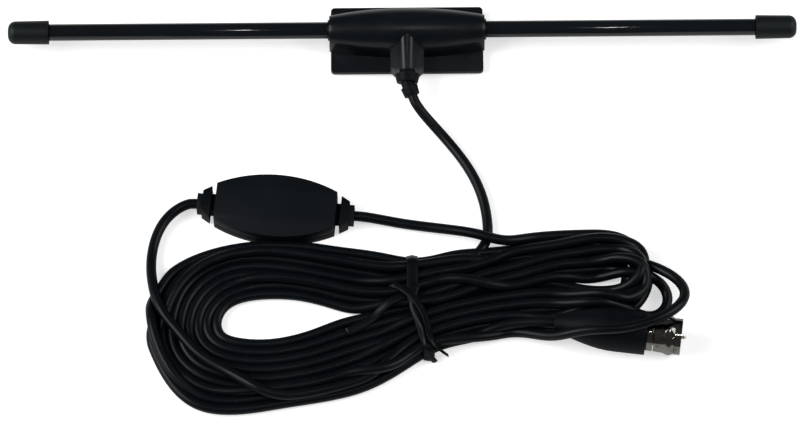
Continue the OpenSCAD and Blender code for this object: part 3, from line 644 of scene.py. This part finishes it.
def start_material(name, stretch=(1, 1, 1), turn=(0, 0, 0)):
    material = bpy.data.materials.new(name)
    material.use_nodes = True
    tree = material.node_tree
    shader = tree.nodes["Principled BSDF"]
    where = tree.nodes.new("ShaderNodeTexCoord")
    mapping = tree.nodes.new("ShaderNodeMapping")
    mapping.vector_type = "TEXTURE"
    mapping.inputs["Rotation"].default_value = turn
    mapping.inputs["Scale"].default_value = stretch
    tree.links.new(where.outputs["Object"], mapping.inputs["Vector"])
    return material, tree, shader, mapping.outputs["Vector"]


def bump(tree, shader, height, strength, distance):
    node = tree.nodes.new("ShaderNodeBump")
    node.inputs["Strength"].default_value = strength
    node.inputs["Distance"].default_value = distance
    tree.links.new(height, node.inputs["Height"])
    tree.links.new(node.outputs["Normal"], shader.inputs["Normal"])


DUST = (0.09, 0.09, 0.085)
GRAIN_DEPTH, RING_DEPTH = 0.0001, 0.00005


def skin_material(
    name, colour, worn, rough, grain, wave, wave_share, depth, dust_share=0.25, specular=0.5,
    stretch=(1, 1, 1),
):
    """A moulded or dipped finish; rough is the roughness of the clean and of the handled surface."""
    material, tree, shader, vector = start_material(name, stretch)
    skin = tree.nodes.new("ShaderNodeGroup")
    skin.node_tree = SKIN
    tree.links.new(vector, skin.inputs["Vector"])
    skin.inputs["Grain Scale"].default_value = grain
    skin.inputs["Wave Scale"].default_value = wave
    skin.inputs["Wave Share"].default_value = wave_share
    tone = colour_mix(tree, skin.outputs["Smudge"], colour, worn)
    dusted = maths(tree, "MULTIPLY", skin.outputs["Dust"], dust_share)
    speck = colour_mix(tree, dusted, (0, 0, 0), DUST)
    tree.links.new(tone.outputs["Result"], speck.inputs["A"])
    tree.links.new(speck.outputs["Result"], shader.inputs["Base Color"])
    roughness = ranged(tree, skin.outputs["Smudge"], 0.0, 1.0, *rough)
    tree.links.new(roughness, shader.inputs["Roughness"])
    bump(tree, shader, skin.outputs["Height"], depth, GRAIN_DEPTH)
    shader.inputs["Specular IOR Level"].default_value = specular
    return material


def metal_material(name, colour, dull, rough, turn, rings=3000.0, depth=0.15):
    """A turned or drawn metal; its rings run across the X axis of the mapping."""
    material, tree, shader, vector = start_material(name, turn=turn)
    lathe = tree.nodes.new("ShaderNodeGroup")
    lathe.node_tree = LATHE
    tree.links.new(vector, lathe.inputs["Vector"])
    lathe.inputs["Ring Scale"].default_value = rings
    tone = colour_mix(tree, lathe.outputs["Tarnish"], colour, dull)
    tree.links.new(tone.outputs["Result"], shader.inputs["Base Color"])
    tarnished = maths(tree, "MULTIPLY", lathe.outputs["Tarnish"], 0.7)
    streaked = maths(tree, "MULTIPLY", lathe.outputs["Streak"], 0.3)
    both = maths(tree, "ADD", tarnished, streaked)
    tree.links.new(ranged(tree, both, 0.0, 1.0, *rough), shader.inputs["Roughness"])
    bump(tree, shader, lathe.outputs["Height"], depth, RING_DEPTH)
    shader.inputs["Metallic"].default_value = 1.0
    return material


PLUG_TURN = (0, 0, math.radians(-7.5))
FINISHES = {
    "black_plastic": skin_material(
        "head_plastic", (0.0028, 0.0046, 0.0064), (0.0042, 0.0062, 0.0082), (0.28, 0.4),
        grain=2600, wave=150, wave_share=0.4, depth=0.12, specular=0.26,
    ),
    "satin_plastic": skin_material(
        "amplifier_plastic", (0.0028, 0.0046, 0.0066), (0.0042, 0.0062, 0.0084), (0.5, 0.62),
        grain=3200, wave=110, wave_share=0.3, depth=0.3, specular=0.12,
    ),
    "black_enamel": skin_material(
        "rod_enamel", (0.0022, 0.0044, 0.0064), (0.0038, 0.0062, 0.0084), (0.08, 0.14),
        grain=900, wave=60, wave_share=0.5, depth=0.04, specular=0.5, stretch=(9, 1, 1),
    ),
    "cap_rubber": skin_material(
        "cap_rubber", (0.0042, 0.0068, 0.0082), (0.0062, 0.009, 0.0106), (0.46, 0.6),
        grain=3000, wave=200, wave_share=0.4, depth=0.3, specular=0.24,
    ),
    "cable_jacket": skin_material(
        "cable_jacket", (0.002, 0.0034, 0.005), (0.0032, 0.0047, 0.0064), (0.3, 0.42),
        grain=1400, wave=240, wave_share=1.2, depth=0.16, specular=0.15,
    ),
    "relief_rubber": skin_material(
        "relief_rubber", (0.0018, 0.0031, 0.0046), (0.003, 0.0045, 0.0062), (0.46, 0.6),
        grain=2600, wave=180, wave_share=0.4, depth=0.3, specular=0.1,
    ),
    "tie_plastic": skin_material(
        "tie_plastic", (0.0014, 0.0024, 0.0034), (0.0026, 0.0038, 0.005), (0.34, 0.46),
        grain=1800, wave=300, wave_share=0.8, depth=0.2, specular=0.14,
    ),
    "foam_pad": skin_material(
        "pad_foam", (0.012, 0.012, 0.013), (0.022, 0.022, 0.023), (0.85, 0.95),
        grain=900, wave=300, wave_share=0.6, depth=0.9, specular=0.2,
    ),
    "circuit_board": skin_material(
        "board_lacquer", (0.012, 0.09, 0.035), (0.02, 0.12, 0.05), (0.3, 0.45),
        grain=1200, wave=400, wave_share=0.8, depth=0.2, dust_share=0.1,
    ),
    "ferrite": skin_material(
        "ferrite_grey", (0.03, 0.03, 0.032), (0.05, 0.05, 0.052), (0.5, 0.7),
        grain=2400, wave=600, wave_share=0.8, depth=0.5,
    ),
    "chip_plastic": skin_material(
        "chip_epoxy", (0.012, 0.012, 0.013), (0.02, 0.02, 0.021), (0.5, 0.62),
        grain=5000, wave=800, wave_share=0.5, depth=0.4,
    ),
    "ceramic": skin_material(
        "capacitor_ceramic", (0.32, 0.21, 0.12), (0.42, 0.3, 0.18), (0.35, 0.5),
        grain=3500, wave=900, wave_share=0.5, depth=0.3, dust_share=0.1,
    ),
    "insulator": skin_material(
        "insulator_plastic", (0.62, 0.61, 0.56), (0.7, 0.69, 0.63), (0.4, 0.5),
        grain=3000, wave=500, wave_share=0.5, depth=0.2, dust_share=0.1,
    ),
    "nickel": metal_material(
        "plug_nickel", (0.2, 0.195, 0.18), (0.07, 0.064, 0.054), (0.06, 0.18),
        turn=PLUG_TURN,
    ),
    "brass": metal_material(
        "contact_brass", (0.44, 0.39, 0.3), (0.25, 0.215, 0.165), (0.24, 0.4),
        turn=PLUG_TURN,
    ),
}

for cable in (first_cable, second_cable):
    cable.data.materials.append(FINISHES["cable_jacket"])


# ---------------------------------------------------------------- carried CAD nodes

EDGE_ROUND = {
    "black_plastic": 0.18, "satin_plastic": 0.15, "cap_rubber": 0.2, "relief_rubber": 0.15,
    "black_enamel": 0.08,
    "nickel": 0.1, "brass": 0.06,
}


def dress_node(node, slot):
    """Gives a CAD node its finish, merged and slightly rounded edges, and smooth shading."""
    obj = frame["nodes"][node]
    obj.data.materials.clear()
    obj.data.materials.append(FINISHES[slot])
    custom = obj.data.attributes.get("custom_normal")
    if custom is not None:
        obj.data.attributes.remove(custom)
    obj.data.polygons.foreach_set("use_smooth", [True] * len(obj.data.polygons))
    weld = obj.modifiers.new("merge", "WELD")
    weld.merge_threshold = 2e-6
    width = EDGE_ROUND.get(slot)
    if width:
        edge = obj.modifiers.new("edges", "BEVEL")
        edge.width = width * MM
        edge.segments = 2
        edge.limit_method = "ANGLE"
        edge.angle_limit = math.radians(38)
        edge.use_clamp_overlap = True
    split = obj.modifiers.new("corners", "EDGE_SPLIT")
    split.split_angle = math.radians(42)


for part in frame["record"]["subparts"]:
    dress_node(part["node"], part["material_slot"])


# ---------------------------------------------------------------- twist tie


RING_POINTS = 14
RIB_HEIGHT, RIB_SPREAD, EDGE_POWER = 0.9, 0.03, 0.75


def ribbon(name, stations, width, thick, closed=False):
    """A flat tie strip with a wire rib along its middle, drawn along stations of (point, across, up)."""
    bm = bmesh.new()
    ring = bmesh.ops.create_circle(bm, segments=RING_POINTS, radius=0.5, cap_ends=False)["verts"]
    for v in ring:
        x, y = v.co.x * 2, v.co.y * 2
        swell = 1 + RIB_HEIGHT * math.exp(-(x * x) / RIB_SPREAD)
        v.co = Vector((math.copysign(abs(x) ** EDGE_POWER, x) * width / 2, y * thick / 2 * swell, 0))
    edges = list(bm.edges)

    def placing(station):
        point, across, up = station
        a = Vector(across).normalized()
        u = Vector(up)
        u = (u - a * u.dot(a)).normalized()
        return Matrix.Translation(Vector(point)) @ Matrix((a, u, a.cross(u))).transposed().to_4x4()

    last = placing(stations[0])
    bmesh.ops.transform(bm, matrix=last, verts=ring)
    first_edges = list(edges)
    for station in stations[1:]:
        now = placing(station)
        made = bmesh.ops.extrude_edge_only(bm, edges=edges)["geom"]
        verts = [g for g in made if isinstance(g, bmesh.types.BMVert)]
        drawn = [g for g in made if isinstance(g, bmesh.types.BMEdge)]
        edges = [g for g in drawn if all(v in verts for v in g.verts)]
        bmesh.ops.transform(bm, matrix=now @ last.inverted(), verts=verts)
        last = now
    if closed:
        bmesh.ops.bridge_loops(bm, edges=edges + first_edges)
    else:
        bmesh.ops.holes_fill(bm, edges=bm.edges, sides=0)
    bmesh.ops.recalc_face_normals(bm, faces=bm.faces)
    mesh = bpy.data.meshes.new(name)
    bm.to_mesh(mesh)
    bm.free()
    for face in mesh.polygons:
        face.use_smooth = True
    obj = bpy.data.objects.new(name, mesh)
    bpy.context.scene.collection.objects.link(obj)
    obj.data.materials.append(FINISHES["tie_plastic"])
    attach(obj, "antenna")
    return obj


def hull_round(points):
    """The convex outline of flat points, counter-clockwise."""
    points = sorted(set(points))

    def turns_in(a, b, c):
        return (b[0] - a[0]) * (c[1] - a[1]) - (b[1] - a[1]) * (c[0] - a[0]) <= 0

    def half(seq):
        out = []
        for q in seq:
            while len(out) > 1 and turns_in(out[-2], out[-1], q):
                out.pop()
            out.append(q)
        return out[:-1]

    return half(points) + half(points[::-1])


HANK = np.vstack([first, second])
TIE_X, TIE_W, TIE_T = WAIST_X, 3.6, 0.5
# The tie leans to the right over the lower strands: how far, from which Y and over what distance.
TIE_LEAN, LEAN_FROM, LEAN_SPAN = 5.0, -91, 18
# Which points of the cable lie under the band.
BAND_REACH, BAND_TOP, BAND_BOTTOM = 2.2, -74, -116
BAND_GAP, BAND_STATIONS, STRAND_POINTS = 0.05, 84, 20
# A strip bridges this much beside a strand's crest before it follows the strand down.
STRIP_HALF = 0.8
STRIP_STEP, STRIP_TAUT, STRIP_SOFT = 0.9, 6, 4


def hank_top(x, y, reach=2.4):
    """How high the cables come up round a place on the table."""
    d = np.hypot(HANK[:, 0] - x, HANK[:, 1] - y)
    near = d < reach
    if not near.any():
        return 0.0
    aside = np.clip(d[near] - STRIP_HALF, 0, CABLE_R)
    return float((HANK[near, 2] + np.sqrt(np.maximum(0, CABLE_R**2 - aside**2))).max())


def tie_lean(y):
    return TIE_LEAN * np.clip((LEAN_FROM - y) / LEAN_SPAN, 0, 1)


def tie_band():
    """The strip round the waist, pulled tight over the strands that lie under it."""
    x, y = HANK[:, 0], HANK[:, 1]
    under = abs(x - (TIE_X + tie_lean(y))) < BAND_REACH
    inside = HANK[under & (y < BAND_TOP) & (y > BAND_BOTTOM)]
    rim = CABLE_R + TIE_T / 2 + BAND_GAP
    angles = np.linspace(0, 2 * math.pi, STRAND_POINTS, endpoint=False)
    circle = [(math.cos(a), math.sin(a)) for a in angles]
    outline = hull_round([
        (round(p[1] + rim * c, 3), round(max(p[2] + rim * s, TIE_T), 3)) for p in inside for c, s in circle
    ])
    line = np.array(outline + [outline[0]])
    along = np.concatenate([[0], np.cumsum(np.linalg.norm(np.diff(line, axis=0), axis=1))])
    at = np.linspace(0, along[-1], BAND_STATIONS, endpoint=False)
    line = np.stack([np.interp(at, along, line[:, k]) for k in range(2)], axis=1)
    stations = []
    for k in range(len(line)):
        a, b = line[k - 1], line[(k + 1) % len(line)]
        flow = Vector((0, b[0] - a[0], b[1] - a[1])).normalized()
        out = flow.cross(Vector((1, 0, 0)))
        place = ((TIE_X + tie_lean(line[k][0])) * MM, line[k][0] * MM, line[k][1] * MM)
        stations.append((place, (1, 0, 0), out))
    return ribbon("tie_band", stations, TIE_W * MM, TIE_T * MM, closed=True)


def tie_strip(name, plan, width, lift, twist):
    """A loose end of the tie that lies over the strands."""
    base = through([(x, y, 0) for x, y in plan], STRIP_STEP)
    route = np.array([(x, y, hank_top(x, y) + lift) for x, y, _ in base])
    for _ in range(STRIP_TAUT):
        route[1:-1, 2] = np.maximum(route[1:-1, 2], (route[:-2, 2] + route[2:, 2]) / 2)
    for _ in range(STRIP_SOFT):
        route[1:-1, 2] = (route[:-2, 2] + 2 * route[1:-1, 2] + route[2:, 2]) / 4
    stations = []
    n = len(route)
    for k in range(n):
        a, b = route[max(k - 1, 0)], route[min(k + 1, n - 1)]
        flow = Vector(b - a).normalized()
        side = flow.cross(Vector((0, 0, 1))).normalized()
        angle = math.radians(twist[0] + (twist[1] - twist[0]) * k / (n - 1))
        across = side * math.cos(angle) + flow.cross(side) * math.sin(angle)
        stations.append((Vector(route[k]) * MM, across, flow.cross(across) * -1))
    return ribbon(name, stations, width * MM, TIE_T * MM)


band = tie_band()
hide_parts("twist_tie")
# Each loose end: its name, its plan, its width, its lift over the strands and its twist in degrees.
TIE_ENDS = [
    (
        "tie_tail_left",
        [(1.2, -89.4), (-1.8, -90.8), (-5.4, -92.4), (-8.6, -94.8), (-11.6, -97.4), (-15.4, -99.8),
         (-19.4, -101.8)],
        2.6, 0.55, (10, -14),
    ),
    (
        "tie_end_one",
        [(2.6, -87.6), (1.6, -89.6), (0.9, -92), (1.0, -95), (2.2, -98.4), (3.6, -102), (4.2, -106),
         (5.0, -109), (7.8, -110.8)],
        2.0, 0.9, (0, 60),
    ),
    (
        "tie_end_two",
        [(-5.4, -87.2), (-2.6, -88.6), (0.4, -91), (2.8, -94), (4.6, -97.4), (5.6, -101), (6.2, -104.6),
         (7.4, -107.2), (9.4, -108.4), (11.6, -108.8)],
        2.2, 1.5, (8, -40),
    ),
]
for tie_end in TIE_ENDS:
    tie_strip(*tie_end)


# ---------------------------------------------------------------- stage and light


FLOOR_DROP = 0.0002
FLOOR_GLOW = 0.55


def floor():
    """A white table just under the object, which the camera sees a little brighter than it is lit."""
    bm = bmesh.new()
    bmesh.ops.create_grid(bm, x_segments=1, y_segments=1, size=3.0)
    bmesh.ops.translate(bm, vec=(0, 0, -FLOOR_DROP), verts=bm.verts)
    mesh = bpy.data.meshes.new("table")
    bm.to_mesh(mesh)
    bm.free()
    obj = bpy.data.objects.new("table", mesh)
    bpy.context.scene.collection.objects.link(obj)
    material = bpy.data.materials.new("table_white")
    material.use_nodes = True
    tree = material.node_tree
    shader = tree.nodes["Principled BSDF"]
    shader.inputs["Base Color"].default_value = (0.86, 0.86, 0.86, 1)
    shader.inputs["Roughness"].default_value = 0.9
    shader.inputs["Specular IOR Level"].default_value = 0.1
    shader.inputs["Emission Color"].default_value = (1, 1, 1, 1)
    path = tree.nodes.new("ShaderNodeLightPath")
    glow = maths(tree, "MULTIPLY", path.outputs["Is Camera Ray"], FLOOR_GLOW)
    tree.links.new(glow, shader.inputs["Emission Strength"])
    obj.data.materials.append(material)


LAMP_AIM = Vector((0, -0.06, 0))
# How bright the white surroundings are for the object itself; the camera sees them at full strength.
ROOM_LIGHT = 0.1


def area_lamp(name, place, size, power):
    data = bpy.data.lights.new(name, "AREA")
    data.shape = "RECTANGLE"
    data.size, data.size_y = size
    data.energy = power
    obj = bpy.data.objects.new(name, data)
    obj.location = place
    obj.rotation_mode = "QUATERNION"
    obj.rotation_quaternion = (LAMP_AIM - Vector(place)).to_track_quat("-Z", "Y")
    bpy.context.scene.collection.objects.link(obj)


def studio():
    world = bpy.data.worlds.new("studio")
    bpy.context.scene.world = world
    world.use_nodes = True
    tree = world.node_tree
    back = tree.nodes["Background"]
    back.inputs["Color"].default_value = (1, 1, 1, 1)
    path = tree.nodes.new("ShaderNodeLightPath")
    seen = maths(tree, "MAXIMUM", path.outputs["Is Camera Ray"], path.outputs["Is Transmission Ray"])
    tree.links.new(ranged(tree, seen, 0.0, 1.0, ROOM_LIGHT, 1.0), back.inputs["Strength"])
    area_lamp("left_softbox", (-1.1, -0.15, 0.9), (1.0, 1.0), 17.0)
    area_lamp("right_softbox", (1.1, -0.05, 0.9), (1.0, 1.0), 10.0)
    area_lamp("front_lamp", (0.09, -0.42, 1.45), (0.06, 0.06), 1.1)
    bpy.context.scene.view_settings.view_transform = "Standard"


floor()
studio()
